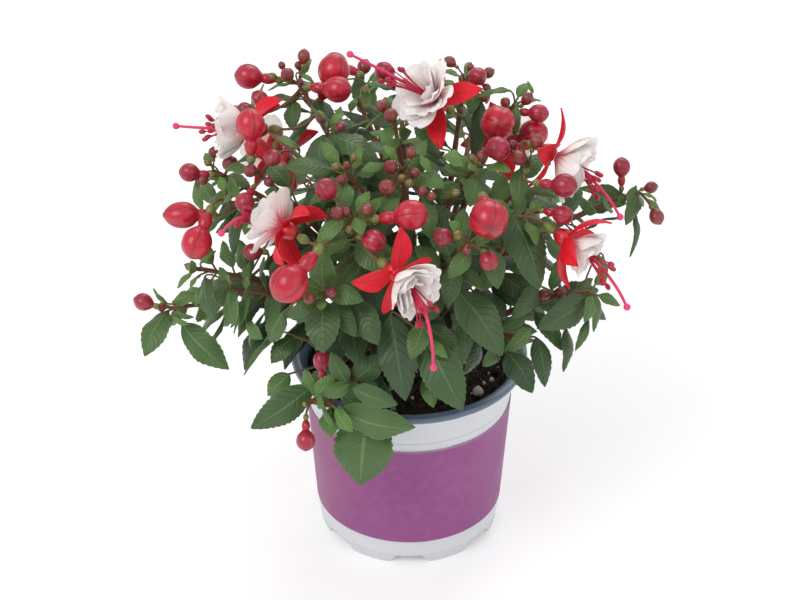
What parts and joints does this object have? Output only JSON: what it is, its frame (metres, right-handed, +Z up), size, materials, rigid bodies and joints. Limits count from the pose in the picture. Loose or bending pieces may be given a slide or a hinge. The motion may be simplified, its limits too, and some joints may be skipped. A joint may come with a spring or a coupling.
{
  "type": "potted fuchsia",
  "caption": "Bushy fuchsia in bud and flower, with red and white hanging blooms, in a round plastic pot with a plain purple band.",
  "frame": {"origin": "on the floor, under the middle of the whole plant's box", "axes": "+Z up along the pot, +X to the viewer's right, -Y towards the viewer of the picture"},
  "size_m": [0.278, 0.281, 0.3022],
  "materials": {
    "pot_plastic": "satin white, steel blue on the rim and inside",
    "label_film": "satin printed film",
    "soil": "loose and matte",
    "bark": "matte",
    "foliage": "satin leaf",
    "calyx": "waxy",
    "corolla": "matte petal",
    "stamens": "satin"
  },
  "bodies": {
    "root": {"pot": "pot_plastic", "label_band": "label_film", "soil": "soil", "crown": "bark", "top_left_spray": "foliage", "top_twig_spray": "foliage", "top_mid_left_spray": "foliage", "top_centre_spray": "foliage", "top_spray": "foliage", "top_right_spray": "foliage", "right_top_spray": "foliage", "right_inner_spray": "foliage", "right_arch_spray": "foliage", "right_bloom_spray": "foliage", "right_low_spray": "foliage", "rim_right_spray": "foliage", "centre_right_spray": "foliage", "front_centre_spray": "foliage", "centre_left_spray": "foliage", "centre_top_spray": "foliage", "centre_top_left_spray": "foliage", "left_inner_spray": "foliage", "left_high_spray": "foliage", "left_mid_spray": "foliage", "left_thin_spray": "foliage", "left_leafy_spray": "foliage", "left_low_spray": "foliage", "low_left_spray": "foliage", "low_front_spray": "foliage", "front_left_spray": "foliage", "back_top_spray": "foliage", "back_left_side_spray": "foliage", "back_middle_spray": "foliage", "back_right_side_spray": "foliage", "back_left_low_spray": "foliage", "back_right_low_spray": "foliage", "upper_left_calyx": "calyx", "upper_left_corolla": "corolla", "upper_left_stamens": "stamens", "top_calyx": "calyx", "top_corolla": "corolla", "top_stamens": "stamens", "right_top_calyx": "calyx", "right_top_corolla": "corolla", "right_top_stamens": "stamens", "left_calyx": "calyx", "left_corolla": "corolla", "left_stamens": "stamens", "front_calyx": "calyx", "front_corolla": "corolla", "front_stamens": "stamens", "right_calyx": "calyx", "right_corolla": "corolla", "right_stamens": "stamens", "back_left_calyx": "calyx", "back_left_corolla": "corolla", "back_left_stamens": "stamens", "back_right_calyx": "calyx", "back_right_corolla": "corolla", "back_right_stamens": "stamens"}
  },
  "joints": []
}
